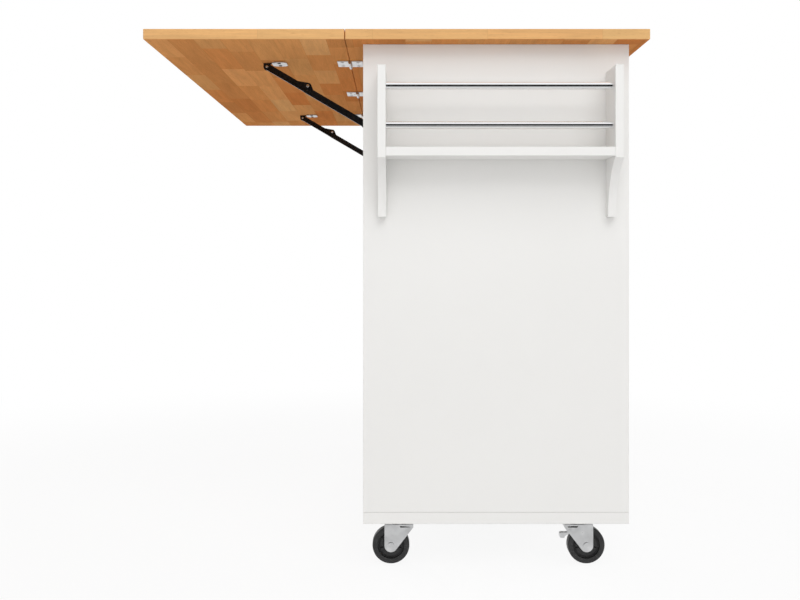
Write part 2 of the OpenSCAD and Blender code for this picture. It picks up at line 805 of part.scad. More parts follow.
// Two sides, a back and a bottom, each a board of its own
module drawer_box(i) {
    z1 = box_z(i);
    z2 = z1 + box_h(i);
    slot_z = z1 + bottom_lift;
    color(PLY) {
        for (side = [0, 1]) {
            y1 = side == 0 ? box_y_near : box_y_far - drawer_t;
            y2 = y1 + drawer_t;
            inner = side == 0 ? y2 - bottom_groove : y1 - past;
            outer = side == 0 ? y1 - past : y2 - runner_groove;
            difference() {
                block([box_x_back, y1, z1], [box_x_front, y2, z2]);
                block([box_x_back - past, inner, slot_z],
                    [box_x_front + past, inner + bottom_groove + past, slot_z + drawer_bottom_t]);
                block([box_x_back - past, outer, runner_z(i)],
                    [box_x_front - runner_stop, outer + runner_groove + past, runner_z(i) + runner_h]);
            }
        }
        block([box_x_back, box_y_near + drawer_t + board_gap, slot_z + drawer_bottom_t + board_gap],
            [box_x_back + drawer_t, box_y_far - drawer_t - board_gap, z2]);
        block([box_x_back, box_y_near + drawer_t - bottom_groove + board_gap, slot_z + board_gap / 2],
            [box_x_front - board_gap, box_y_far - drawer_t + bottom_groove - board_gap,
                slot_z + drawer_bottom_t - board_gap / 2]);
    }
}

// Wooden runners on the partitions, which lie in the grooves of the drawers' sides
module drawer_runners() {
    reach = drawer_side_gap + runner_groove - runner_gap;
    x1 = x_back_inner + runner_back;
    x2 = box_x_front - runner_stop - runner_end_gap;
    color(PLY) for (i = [0 : 2]) {
        z1 = runner_z(i) + runner_gap / 2;
        z2 = z1 + runner_h - runner_gap;
        block([x1, drawer_y_near, z1], [x2, drawer_y_near + reach, z2]);
        block([x1, drawer_y_far - reach, z1], [x2, drawer_y_far, z2]);
    }
}

// ---- Rack on the near end ----

// Side outline in Y and Z: a deep top part, then a cove down to a shallow foot
module rack_outline() {
    difference() {
        translate([y_rack_front, z_rack_low]) square([rack_depth, rack_h]);
        translate([y_cab_near - rack_foot - cove_r, z_rack_low]) circle(cove_r, $fn = 96);
    }
}

module rack_bracket(side) {
    mid = x_rack_mid + side * (rack_w - rack_bracket_t) / 2;
    low = [mid - rack_bracket_t / 2, y_rack_front, z_rack_low];
    color(WHITE) difference() {
        intersection() {
            translate([low.x, 0, 0]) rotate([90, 0, 90]) linear_extrude(rack_bracket_t) rack_outline();
            board(low, low + [rack_bracket_t, rack_depth, rack_h], board_ease);
        }
        for (drop = [rod_upper_drop, rod_lower_drop])
            rod_bar(drop, rod_d + 2 * still_fit, 0.2);
        rack_screw_holes();
    }
}

// A rod's bar; extra lengthens each end
module rod_bar(drop, d, extra) {
    half = rack_w / 2 - rack_bracket_t + rod_seat + extra;
    translate([x_rack_mid - half, rod_y, z_rack_top - drop]) rotate([0, 90, 0]) cylinder(d = d, h = 2 * half);
}

module rack_rods() {
    color(CHROME) for (drop = [rod_upper_drop, rod_lower_drop]) rod_bar(drop, rod_d, 0);
}

module rack_shelf() {
    half = rack_w / 2 - rack_bracket_t;
    color(WHITE) board([x_rack_mid - half, y_rack_front, z_rack_shelf],
        [x_rack_mid + half, y_cab_near, z_rack_shelf + rack_shelf_t], board_ease);
}

// Long screws from inside the end panel into the brackets
module rack_screws() {
    color(ZINC) for (p = rack_screws_at()) {
        bar_y(p.x, p.z, rack_screw_d, p.y - rack_screw_len, p.y);
        bar_y(p.x, p.z, rack_screw_head_d, p.y, p.y + rack_screw_head_h);
    }
}

// ---- Casters ----

// Puts a caster's pieces under the cabinet: ix is 0 at the back and 1 at the front,
// and iy is 0 at the near end and 1 at the far end
module at_caster(ix, iy) {
    translate([caster_x[ix], caster_y[iy], 0]) rotate(ix == 0 ? 0 : 180) children();
}

// Mounting plate with the ball race and the kingpin
module caster_plate() {
    difference() {
        union() {
            translate([-caster_plate_x / 2, -caster_plate_y / 2, caster_h - caster_sheet])
                linear_extrude(caster_sheet)
                    round_rect(caster_plate_x, caster_plate_y, caster_plate_round);
            rotate_extrude() polygon([[0, crown_top + face_gap], [race_r, crown_top + face_gap],
                [race_r, crown_top + race_h / 2], [race_neck_r + 2, crown_top + race_h],
                [race_neck_r, caster_h - caster_sheet], [0, caster_h - caster_sheet]]);
            translate([0, 0, crown_z - face_gap]) cylinder(d = kingpin_d, h = caster_h - crown_z);
            translate([0, 0, crown_z - face_gap - kingpin_head_h])
                cylinder(d = kingpin_head_d, h = kingpin_head_h);
        }
        for (x = [-caster_screw_x, caster_screw_x], y = [-caster_screw_y, caster_screw_y])
            translate([x, y, caster_h - caster_sheet - past])
                cylinder(d = screw_d + 2 * still_fit, h = caster_sheet + 2 * past);
    }
}

module caster_plates() {
    color(ZINC) for (ix = [0, 1], iy = [0, 1]) at_caster(ix, iy) caster_plate();
}

module caster_screws() { color(ZINC) for (p = caster_screws_at()) screw_up(p); }

// Outline of a fork's cheek in X and Z: a round foot at the axle under a wide top
module cheek_outline() {
    axle = [-caster_trail, axle_z];
    // Where the slanted edge from the top's corner touches the round foot
    reach = cheek_corner - axle;
    turn = acos(cheek_r / norm(reach));
    at = atan2(reach[1], reach[0]) - turn;
    touch = axle + cheek_r * [cos(at), sin(at)];
    translate(axle) circle(cheek_r);
    polygon([axle, axle - [cheek_r, 0], [-caster_trail - cheek_r, crown_top], [cheek_corner[0], crown_top],
        cheek_corner, touch]);
}

// The cheek with its pressed slot
module cheek() {
    slot_r = cheek_slot_h / 2;
    difference() {
        cheek_outline();
        translate([0, crown_z - cheek_slot_drop]) {
            for (x = [cheek_slot_from, cheek_slot_to]) translate([x, 0]) circle(slot_r);
            translate([cheek_slot_from, -slot_r]) square([cheek_slot_to - cheek_slot_from, cheek_slot_h]);
        }
    }
}

module caster_fork(ix, iy) {
    outer = fork_gap / 2 + caster_sheet;
    color(ZINC) at_caster(ix, iy) {
        difference() {
            union() {
                slab_y(-outer, -fork_gap / 2) cheek();
                slab_y(fork_gap / 2, outer) cheek();
                translate([-caster_trail - cheek_r, -outer, crown_z])
                    cube([caster_trail + cheek_r + cheek_corner[0], 2 * outer, caster_sheet]);
            }
            bar_y(-caster_trail, axle_z, axle_d + 2 * still_fit, -outer - past, outer + past);
            translate([0, 0, crown_z - past])
                cylinder(d = kingpin_d + 2 * run_fit, h = caster_sheet + 2 * past);
            if (ix == 1)
                bar_y(pedal_pivot[0], pedal_pivot[1], pedal_pin_d + 2 * run_fit, -outer - past, outer + past);
        }
        // The riveted axle
        bar_y(-caster_trail, axle_z, axle_d, -outer - still_fit, outer + still_fit);
        bar_y(-caster_trail, axle_z, axle_head_d, outer + still_fit, outer + still_fit + axle_head_h);
        bar_y(-caster_trail, axle_z, axle_head_d, -outer - still_fit - axle_head_h, -outer - still_fit);
    }
}

// Half of the wheel's section: a tyre band, a groove, a sunk web and a hub
module wheel_section() {
    r = wheel_d / 2;
    half = wheel_w / 2;
    bore = axle_d / 2 + run_fit;
    translate([bore, -half]) square([wheel_hub_r - bore, wheel_w]);
    translate([bore, wheel_recess_d - half]) square([wheel_web_r - bore, wheel_w - 2 * wheel_recess_d]);
    translate([bore, wheel_groove_d - half]) square([wheel_recess_r - bore, wheel_w - 2 * wheel_groove_d]);
    translate([wheel_recess_r, -half]) square([r - wheel_round - wheel_recess_r, wheel_w]);
    translate([wheel_recess_r, wheel_round - half]) square([r - wheel_recess_r, wheel_w - 2 * wheel_round]);
    for (y = [-1, 1])
        translate([r - wheel_round, y * (half - wheel_round)]) circle(wheel_round);
}

module caster_wheel(ix, iy) {
    slot_h = wheel_groove_d + past;
    color(RUBBER) at_caster(ix, iy) translate([-caster_trail, 0, axle_z]) rotate([90, 0, 0]) difference() {
        rotate_extrude($fn = 96) wheel_section();
        for (turn = [-slot_droop, 180 + slot_droop], z = [-wheel_w / 2 - past, wheel_w / 2 - wheel_groove_d])
            rotate(turn) translate([slot_from, -slot_w / 2, z])
                cube([(wheel_web_r + wheel_recess_r) / 2 - slot_from, slot_w, slot_h]);
    }
}

// A bent lever on a cross pin, with a foot tab in front of the fork
module brake_pedal(iy) {
    outer = fork_gap / 2 + caster_sheet;
    tab_low = pedal_tab_z - pedal_tab / 2;
    color(ZINC) at_caster(1, iy) {
        slab_y(-pedal_w / 2, pedal_w / 2) {
            translate(pedal_pivot) circle(pedal_eye_r);
            polygon([pedal_pivot + pedal_nose, pedal_pivot - [pedal_eye_r, 0],
                pedal_pivot + [pedal_eye_r, 0], [pedal_pivot[0] + pedal_eye_r, tab_low + pedal_tab],
                [pedal_reach - pedal_tab / 2, tab_low + pedal_tab],
                [pedal_reach - pedal_tab / 2, tab_low + pedal_lip]]);
            translate([pedal_reach - pedal_tab, tab_low]) round_rect(pedal_tab, pedal_tab, pedal_round);
        }
        bar_y(pedal_pivot[0], pedal_pivot[1], pedal_pin_d, -outer - pedal_pin_end, outer + pedal_pin_end);
    }
}

// ---- All the pieces ----

end_panel_near();
end_panel_far();
bottom_board();
partition(y_part_near);  // partition_near
partition(y_part_far);  // partition_far
back_panel();
top_rails();
shelf(y_in_near);  // shelf_near
shelf(y_part_far + board_t);  // shelf_far
shelf_pins();
main_top();
drop_leaf();
hinge_plates_fixed();
hinge_plates_leaf();
hinge_pins();
top_screws();
leaf_screws();
stay_leaf_brackets();
stay_cabinet_brackets();
stay_leaf_rivets();
stay_cabinet_rivets();
stay_upper_arm(stay_y[0]);  // stay_upper_arm_near
stay_upper_arm(stay_y[1]);  // stay_upper_arm_far
stay_lower_arm(stay_y[0]);  // stay_lower_arm_near
stay_lower_arm(stay_y[1]);  // stay_lower_arm_far
stay_screws();
rack_bracket(-1);  // rack_bracket_rear
rack_bracket(1);  // rack_bracket_front
rack_shelf();
rack_rods();
rack_screws();
caster_plates();
caster_screws();
caster_fork(0, 0);  // caster_fork_rear_near
caster_fork(0, 1);  // caster_fork_rear_far
caster_fork(1, 0);  // caster_fork_front_near
caster_fork(1, 1);  // caster_fork_front_far
caster_wheel(0, 0);  // caster_wheel_rear_near
caster_wheel(0, 1);  // caster_wheel_rear_far
caster_wheel(1, 0);  // caster_wheel_front_near
caster_wheel(1, 1);  // caster_wheel_front_far
brake_pedal(0);  // brake_pedal_near
brake_pedal(1);  // brake_pedal_far
door(-1);  // door_near
door(1);  // door_far
door_knob(-1);  // door_knob_near
door_knob(1);  // door_knob_far
door_pivots();
door_catches();
drawer_front(2);  // drawer_front_top
drawer_front(1);  // drawer_front_middle
drawer_front(0);  // drawer_front_bottom
drawer_box(2);  // drawer_box_top
drawer_box(1);  // drawer_box_middle
drawer_box(0);  // drawer_box_bottom
drawer_knob(2);  // drawer_knob_top
drawer_knob(1);  // drawer_knob_middle
drawer_knob(0);  // drawer_knob_bottom
drawer_runners();
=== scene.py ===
"""Drop leaf kitchen island: finishes, small fittings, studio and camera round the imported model."""
import math

import bmesh
import bpy
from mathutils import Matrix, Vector


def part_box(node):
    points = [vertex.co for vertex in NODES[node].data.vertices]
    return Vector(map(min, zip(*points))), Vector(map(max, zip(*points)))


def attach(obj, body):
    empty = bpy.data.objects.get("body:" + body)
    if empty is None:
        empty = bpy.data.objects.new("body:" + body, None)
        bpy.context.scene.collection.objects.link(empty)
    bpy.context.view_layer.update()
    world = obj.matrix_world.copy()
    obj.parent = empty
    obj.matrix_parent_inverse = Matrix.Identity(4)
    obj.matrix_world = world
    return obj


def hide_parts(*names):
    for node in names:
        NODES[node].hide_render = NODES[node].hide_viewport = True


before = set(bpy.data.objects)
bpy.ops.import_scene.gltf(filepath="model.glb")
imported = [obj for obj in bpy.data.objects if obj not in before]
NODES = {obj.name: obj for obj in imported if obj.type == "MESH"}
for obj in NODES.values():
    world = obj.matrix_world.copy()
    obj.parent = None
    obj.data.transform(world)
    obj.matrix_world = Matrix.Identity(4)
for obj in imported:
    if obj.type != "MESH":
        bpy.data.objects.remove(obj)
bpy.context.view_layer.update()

MM = 0.001

# ---- Camera: level, square to the rack end, 1.84 m before the worktop's near edge ----

CAMERA_AT = (-1.7 * MM, -2.51275, 0.558)
LENS_MM = 50.0
SENSOR_MM = 36.0
SHIFT_X = 0.0055
SHIFT_Y = -0.061


def make_camera():
    """A fixed camera with the photograph's lens and shift."""
    data = bpy.data.cameras.new("camera")
    data.lens = LENS_MM
    data.sensor_width = SENSOR_MM
    data.shift_x = SHIFT_X
    data.shift_y = SHIFT_Y
    data.clip_end = 60.0
    camera = bpy.data.objects.new("camera", data)
    camera.location = CAMERA_AT
    camera.rotation_euler = (math.radians(90.0), 0.0, 0.0)
    bpy.context.scene.collection.objects.link(camera)
    bpy.context.scene.camera = camera


# ---- Small helpers for node trees ----


class Graph:
    """Adds nodes to one tree. What is fed to an input is a number, a colour or another node's output."""

    def __init__(self, tree):
        self.tree = tree

    def add(self, kind, inputs=None, **settings):
        node = self.tree.nodes.new(kind)
        for name, value in settings.items():
            setattr(node, name, value)
        for key, value in (inputs or {}).items():
            self.feed(node.inputs[key], value)
        return node

    def feed(self, socket, value):
        if isinstance(value, bpy.types.NodeSocket):
            self.tree.links.new(value, socket)
        else:
            socket.default_value = value

    def math(self, operation, a, b=0.0, c=0.0):
        return self.add("ShaderNodeMath", {0: a, 1: b, 2: c}, operation=operation).outputs[0]

    def vector(self, operation, a, b=(0.0, 0.0, 0.0)):
        return self.add("ShaderNodeVectorMath", {0: a, 1: b}, operation=operation).outputs[0]

    def mix(self, factor, a, b, blend="MIX"):
        node = self.add("ShaderNodeMix", {0: factor, 6: a, 7: b}, data_type="RGBA", blend_type=blend)
        return node.outputs[2]

    def mix_place(self, factor, a, b):
        node = self.add("ShaderNodeMix", {0: factor, 4: a, 5: b}, data_type="VECTOR")
        return node.outputs[1]

    def remap(self, value, low, high, to_low, to_high, smooth=False):
        kind = "SMOOTHSTEP" if smooth else "LINEAR"
        inputs = {0: value, 1: low, 2: high, 3: to_low, 4: to_high}
        return self.add("ShaderNodeMapRange", inputs, interpolation_type=kind).outputs[0]

    def noise(self, place, scale, detail=2.0, rough=0.5, warp=0.0):
        inputs = {"Vector": place, "Scale": scale, "Detail": detail, "Roughness": rough, "Distortion": warp}
        return self.add("ShaderNodeTexNoise", inputs).outputs["Fac"]

    def split(self, vector):
        return self.add("ShaderNodeSeparateXYZ", {0: vector}).outputs

    def join(self, x=0.0, y=0.0, z=0.0):
        return self.add("ShaderNodeCombineXYZ", {0: x, 1: y, 2: z}).outputs[0]

    def ramp(self, value, stops):
        node = self.add("ShaderNodeValToRGB", {0: value})
        band = node.color_ramp.elements
        while len(band) < len(stops):
            band.new(0.5)
        for element, (at, colour) in zip(band, stops):
            element.position = at
            element.color = (*colour, 1.0)
        return node.outputs[0]


SHADING, SHAPING = "ShaderNodeTree", "GeometryNodeTree"
NUMBER, PLACE, WHOLE = "NodeSocketFloat", "NodeSocketVector", "NodeSocketInt"
SHAPE, COATING = "NodeSocketGeometry", "NodeSocketMaterial"


def node_group(name, use, takes, gives):
    """A node group with named sockets; returns its graph, its inputs and its outputs."""
    tree = bpy.data.node_groups.new(name, use)
    for label, kind, value in takes:
        socket = tree.interface.new_socket(label, in_out="INPUT", socket_type=kind)
        if value is not None:
            socket.default_value = value
    for label, kind in gives:
        tree.interface.new_socket(label, in_out="OUTPUT", socket_type=kind)
    graph = Graph(tree)
    return graph, graph.add("NodeGroupInput").outputs, graph.add("NodeGroupOutput").inputs


# ---- Effects that several finishes share ----

# The span that most of a noise's values lie in
MOST_NOISE = (0.3, 0.7)


def rolled_skin_group():
    """A roller's fine ripple, with slow changes of gloss and shade."""
    graph, given, out = node_group(
        "Rolled skin", SHADING,
        [("Place", PLACE, None), ("Ripple Scale", NUMBER, 420.0), ("Cloud Scale", NUMBER, 4.0),
         ("Gloss Low", NUMBER, 0.3), ("Gloss High", NUMBER, 0.4), ("Shade Low", NUMBER, 0.98)],
        [("Shade", NUMBER), ("Roughness", NUMBER), ("Height", NUMBER)])
    cloud = graph.noise(given["Place"], given["Cloud Scale"], detail=3.0)
    ripple = graph.noise(given["Place"], given["Ripple Scale"], detail=1.0)
    graph.feed(out["Shade"], graph.remap(cloud, *MOST_NOISE, given["Shade Low"], 1.0))
    graph.feed(out["Roughness"], graph.remap(cloud, *MOST_NOISE, given["Gloss High"], given["Gloss Low"]))
    graph.feed(out["Height"], ripple)
    return graph.tree


def edge_rub_group():
    """How near a point is to an edge of the board between two corners: 1 on the edge, 0 a width away."""
    graph, given, out = node_group(
        "Edge rub", SHADING,
        [("Place", PLACE, None), ("Low Corner", PLACE, None), ("High Corner", PLACE, None),
         ("Width", NUMBER, 0.002)],
        [("Rub", NUMBER)])
    above = graph.vector("SUBTRACT", given["Place"], given["Low Corner"])
    below = graph.vector("SUBTRACT", given["High Corner"], given["Place"])
    a, b, c = graph.split(graph.vector("MINIMUM", above, below))
    lesser = graph.math("MINIMUM", a, b)
    greater = graph.math("MAXIMUM", a, b)
    second = graph.math("MAXIMUM", lesser, graph.math("MINIMUM", greater, c))
    broken = graph.noise(given["Place"], 90.0, detail=2.0)
    near = graph.remap(second, 0.0, given["Width"], 1.0, 0.0, smooth=True)
    graph.feed(out["Rub"], graph.math("MULTIPLY", near, graph.remap(broken, 0.35, 0.7, 0.35, 1.0)))
    return graph.tree


def staves_group():
    """Staves laid along Y, each with its own length, tone and stretch of timber."""
    graph, given, out = node_group(
        "Staves", SHADING,
        [("Place", PLACE, None), ("Stave Width", NUMBER, 0.045), ("Stave Length", NUMBER, 0.2),
         ("Shift", NUMBER, 0.0), ("Joint Width", NUMBER, 0.0005)],
        [("Tone", NUMBER), ("Warmth", NUMBER), ("Timber", PLACE), ("Joint", NUMBER)])
    x, y, _ = graph.split(given["Place"])
    across = graph.math("DIVIDE", graph.math("ADD", x, given["Shift"]), given["Stave Width"])
    column = graph.math("FLOOR", across)
    column_look = graph.add("ShaderNodeTexWhiteNoise", {"W": column}, noise_dimensions="1D")
    pace, start, _ = graph.split(column_look.outputs["Color"])
    length = graph.math("MULTIPLY", given["Stave Length"], graph.remap(pace, 0.0, 1.0, 0.85, 1.25))
    along = graph.math("ADD", graph.math("DIVIDE", y, length), graph.math("MULTIPLY", start, 7.0))
    row = graph.math("FLOOR", along)
    look = graph.add("ShaderNodeTexWhiteNoise", {"Vector": graph.join(column, row)}, noise_dimensions="2D")
    _, warmth, _ = graph.split(look.outputs["Color"])
    side = graph.math("MULTIPLY", graph.math("PINGPONG", across, 0.5), given["Stave Width"])
    end = graph.math("MULTIPLY", graph.math("PINGPONG", along, 0.5), length)
    seam = graph.math("MINIMUM", side, end)
    graph.feed(out["Tone"], look.outputs["Value"])
    graph.feed(out["Warmth"], warmth)
    graph.feed(out["Timber"], look.outputs["Color"])
    graph.feed(out["Joint"], graph.remap(seam, 0.0, given["Joint Width"], 1.0, 0.0, smooth=True))
    return graph.tree


def wood_grain_group():
    """Fibres, growth figure and pores that run along Y."""
    graph, given, out = node_group(
        "Wood grain", SHADING,
        [("Place", PLACE, None), ("Timber", PLACE, None), ("Figure Scale", NUMBER, 70.0),
         ("Fibre Scale", NUMBER, 800.0), ("Pore Scale", NUMBER, 1500.0)],
        [("Figure", NUMBER), ("Fibre", NUMBER), ("Pore", NUMBER)])
    shift = graph.vector("MULTIPLY", given["Timber"], (3.1, 9.7, 5.3))
    own = graph.vector("ADD", given["Place"], shift)
    slow = graph.vector("MULTIPLY", own, (1.0, 0.07, 1.0))
    quick = graph.vector("MULTIPLY", own, (1.0, 0.025, 1.0))
    figure = graph.noise(slow, given["Figure Scale"], detail=3.0, rough=0.55, warp=0.8)
    fibre = graph.noise(quick, given["Fibre Scale"], detail=2.0)
    pore = graph.noise(graph.vector("MULTIPLY", own, (1.0, 0.05, 1.0)), given["Pore Scale"], detail=1.0)
    graph.feed(out["Figure"], figure)
    graph.feed(out["Fibre"], fibre)
    graph.feed(out["Pore"], graph.remap(pore, 0.62, 0.74, 0.0, 1.0, smooth=True))
    return graph.tree


def metal_haze_group():
    """The cloudy gloss of plated or coated metal, with a fine grain for the bump."""
    graph, given, out = node_group(
        "Metal haze", SHADING,
        [("Place", PLACE, None), ("Haze Scale", NUMBER, 60.0), ("Grain Scale", NUMBER, 900.0),
         ("Gloss Low", NUMBER, 0.2), ("Gloss High", NUMBER, 0.4), ("Shade Low", NUMBER, 0.92)],
        [("Shade", NUMBER), ("Roughness", NUMBER), ("Height", NUMBER)])
    haze = graph.noise(given["Place"], given["Haze Scale"], detail=4.0, rough=0.6)
    grain = graph.noise(given["Place"], given["Grain Scale"], detail=1.0)
    graph.feed(out["Shade"], graph.remap(haze, *MOST_NOISE, given["Shade Low"], 1.0))
    graph.feed(out["Roughness"], graph.remap(haze, *MOST_NOISE, given["Gloss High"], given["Gloss Low"]))
    graph.feed(out["Height"], grain)
    return graph.tree


ROLLED_SKIN = rolled_skin_group()
EDGE_RUB = edge_rub_group()
STAVES = staves_group()
WOOD_GRAIN = wood_grain_group()
METAL_HAZE = metal_haze_group()


# ---- Finishes ----

# A face looks along an axis where that axis has more than this share of its normal
LOOKS_ALONG = 0.5
ENAMEL_BLACK = (0.011, 0.011, 0.012)
ZINC_COLOUR = (0.67, 0.675, 0.68)
ZINC_GLOSS = (0.26, 0.4)


class Finish(Graph):
    """A material with its Principled shader, its object coordinates and the shared effects at hand."""

    def __init__(self, name, roughness=0.5, metallic=0.0, **fixed):
        self.material = bpy.data.materials.new(name)
        self.material.use_nodes = True
        super().__init__(self.material.node_tree)
        self.shader = self.tree.nodes["Principled BSDF"]
        self.shader.inputs["Roughness"].default_value = roughness
        self.shader.inputs["Metallic"].default_value = metallic
        for label, value in fixed.items():
            self.shader.inputs[label.replace("_", " ")].default_value = value
        spot = self.add("ShaderNodeTexCoord")
        self.place = spot.outputs["Object"]
        self.facing = spot.outputs["Normal"]

    def effect(self, tree, **inputs):
        node = self.add("ShaderNodeGroup", node_tree=tree)
        for label, value in inputs.items():
            self.feed(node.inputs[label.replace("_", " ")], value)
        return node.outputs

    def look(self, colour=None, roughness=None, height=None, bump=0.1, depth=0.0005):
        if colour is not None:
            self.feed(self.shader.inputs["Base Color"], colour)
        if roughness is not None:
            self.feed(self.shader.inputs["Roughness"], roughness)
        if height is not None:
            node = self.add("ShaderNodeBump", {"Strength": bump, "Distance": depth, "Height": height})
            self.feed(self.shader.inputs["Normal"], node.outputs[0])
        return self.material


def shaded(graph, colour, shade):
    """A plain colour times a shade that changes over the surface."""
    return graph.mix(1.0, (*colour, 1.0), shade, blend="MULTIPLY")


# The joint between the bottom board and the boards that stand on it, and the painted shade line along it
JOINT_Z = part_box("bottom_board")[1][2]
JOINT_TOUCH = 0.1 * MM
JOINT_SHADE_REACH = 1.0 * MM
JOINT_SHADE_SHARE = 0.36
# How much handled edges fade and shine
RUB_FADE = 0.35
RUB_SHINE = 0.08


def white_paint(node):
    """Satin white paint, rolled on, duller and smoother where its edges are handled, with a painted shade
    line in the joint between the boards and the bottom board."""
    finish = Finish("white_paint_" + node, Specular_IOR_Level=0.4)
    low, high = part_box(node)
    skin = finish.effect(ROLLED_SKIN, Place=finish.place, Ripple_Scale=380.0, Cloud_Scale=3.0,
                         Gloss_Low=0.36, Gloss_High=0.44, Shade_Low=0.985)
    rub = finish.effect(EDGE_RUB, Place=finish.place, Low_Corner=low, High_Corner=high,
                        Width=0.0018)["Rub"]
    colour = shaded(finish, (0.865, 0.858, 0.84), skin["Shade"])
    colour = finish.mix(finish.math("MULTIPLY", rub, RUB_FADE), colour, (0.80, 0.79, 0.765, 1.0))
    if min(abs(low[2] - JOINT_Z), abs(high[2] - JOINT_Z)) < JOINT_TOUCH:
        # Painted shade: a dark line along the joint with the bottom board stands in for the shade in the
        # groove there
        _, _, z = finish.split(finish.place)
        off = finish.math("ABSOLUTE", finish.math("SUBTRACT", z, JOINT_Z))
        dust_and_shade = finish.remap(off, 0.0, JOINT_SHADE_REACH, JOINT_SHADE_SHARE, 0.0)
        colour = finish.mix(dust_and_shade, colour, (0.42, 0.41, 0.39, 1.0))
    roughness = finish.math("SUBTRACT", skin["Roughness"], finish.math("MULTIPLY", rub, RUB_SHINE))
    return finish.look(colour, roughness, skin["Height"], bump=0.05, depth=0.0004)


# The faces at the seam between top and leaf, and the underside, are left raw
SEAM_REACH = 3 * MM
PORE_SHARE = 0.45
STAVE_JOINT_SHARE = 0.35
MARK_DEPTH = 1.5


def butcher_block():
    """Oiled staves, 45 mm wide, with a lipping of long grain across both ends."""
    finish = Finish("butcher_block")
    x, y, z = finish.split(finish.place)
    side_facing, end_facing, up_facing = finish.split(finish.facing)
    end = finish.math("GREATER_THAN", finish.math("ABSOLUTE", end_facing), LOOKS_ALONG)
    under = finish.remap(up_facing, -0.9, -0.3, 1.0, 0.0)
    side = finish.math("GREATER_THAN", finish.math("ABSOLUTE", side_facing), LOOKS_ALONG)
    from_seam = finish.math("ABSOLUTE", finish.math("SUBTRACT", x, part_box("main_top")[0][0]))
    by_seam = finish.math("LESS_THAN", from_seam, SEAM_REACH)
    raw_face = finish.math("MAXIMUM", under, finish.math("MULTIPLY", side, by_seam))
    lipping = finish.join(z, x, y)
    lay = finish.mix_place(end, finish.place, lipping)
    staves = finish.effect(STAVES, Place=lay, Stave_Width=0.045, Stave_Length=0.2, Shift=0.03,
                           Joint_Width=0.0006)
    grain = finish.effect(WOOD_GRAIN, Place=lay, Timber=staves["Timber"])
    tone = finish.ramp(staves["Tone"], [
        (0.0, (0.60, 0.285, 0.100)), (0.3, (0.69, 0.36, 0.135)), (0.65, (0.755, 0.43, 0.175)),
        (1.0, (0.80, 0.485, 0.215))])
    raw = finish.ramp(staves["Tone"], [
        (0.0, (0.59, 0.222, 0.070)), (0.3, (0.65, 0.270, 0.090)), (0.65, (0.71, 0.330, 0.118)),
        (1.0, (0.77, 0.395, 0.158))])
    tone = finish.mix(end, tone, (0.775, 0.435, 0.170, 1.0))
    colour = finish.mix(raw_face, tone, raw)
    warmth = finish.mix(staves["Warmth"], (1.04, 0.95, 0.88, 1.0), (0.96, 1.03, 1.06, 1.0))
    colour = finish.mix(1.0, colour, warmth, blend="MULTIPLY")
    figure = finish.remap(grain["Figure"], *MOST_NOISE, 0.9, 1.06)
    fibre = finish.remap(grain["Fibre"], 0.25, 0.75, 0.93, 1.05)
    colour = finish.mix(1.0, colour, finish.math("MULTIPLY", figure, fibre), blend="MULTIPLY")
    dark = finish.mix(1.0, colour, (0.62, 0.5, 0.42, 1.0), blend="MULTIPLY")
    marks = finish.math("MAXIMUM", finish.math("MULTIPLY", grain["Pore"], PORE_SHARE),
                        finish.math("MULTIPLY", staves["Joint"], STAVE_JOINT_SHARE))
    colour = finish.mix(marks, colour, dark)
    oiled = finish.remap(raw_face, 0.0, 1.0, 0.42, 0.0)
    finish.feed(finish.shader.inputs["Specular IOR Level"], oiled)
    roughness = finish.remap(grain["Fibre"], 0.2, 0.8, 0.5, 0.4)
    height = finish.math("SUBTRACT", grain["Fibre"], finish.math("MULTIPLY", marks, MARK_DEPTH))
    return finish.look(colour, roughness, height, bump=0.12, depth=0.0003)


PLY_LAYER = 0.0015


def birch_ply():
    """Lacquered ply: pale face veneer, with the layers showing on the upper edges."""
    finish = Finish("birch_ply", Specular_IOR_Level=0.4)
    x, y, z = finish.split(finish.place)
    _, _, up_facing = finish.split(finish.facing)
    grain = finish.effect(WOOD_GRAIN, Place=finish.join(y, x, z), Timber=(0.2, 0.4, 0.6),
                          Figure_Scale=30.0)
    face = finish.ramp(grain["Figure"], [
        (0.25, (0.66, 0.50, 0.32)), (0.5, (0.74, 0.59, 0.40)), (0.8, (0.80, 0.67, 0.48))])
    layer = finish.math("PINGPONG", finish.math("ADD", x, y), PLY_LAYER)
    layers = finish.remap(layer, 0.0005, 0.001, 0.0, 1.0, smooth=True)
    edge = finish.mix(layers, (0.60, 0.43, 0.26, 1.0), (0.76, 0.62, 0.43, 1.0))
    colour = finish.mix(finish.math("GREATER_THAN", up_facing, LOOKS_ALONG), face, edge)
    fibre = finish.remap(grain["Fibre"], 0.25, 0.75, 0.95, 1.04)
    colour = finish.mix(1.0, colour, fibre, blend="MULTIPLY")
    roughness = finish.remap(grain["Fibre"], 0.2, 0.8, 0.48, 0.38)
    return finish.look(colour, roughness, grain["Fibre"], bump=0.08, depth=0.0002)


def black_enamel():
    """Gloss black coating on the stays, with the slight orange peel of baked enamel."""
    finish = Finish("black_enamel", Specular_IOR_Level=0.22)
    haze = finish.effect(METAL_HAZE, Place=finish.place, Haze_Scale=35.0, Grain_Scale=650.0,
                         Gloss_Low=0.24, Gloss_High=0.36, Shade_Low=0.75)
    return finish.look(shaded(finish, ENAMEL_BLACK, haze["Shade"]), haze["Roughness"], haze["Height"],
                       bump=0.06, depth=0.0003)


EAR_WIDTH = 16 * MM


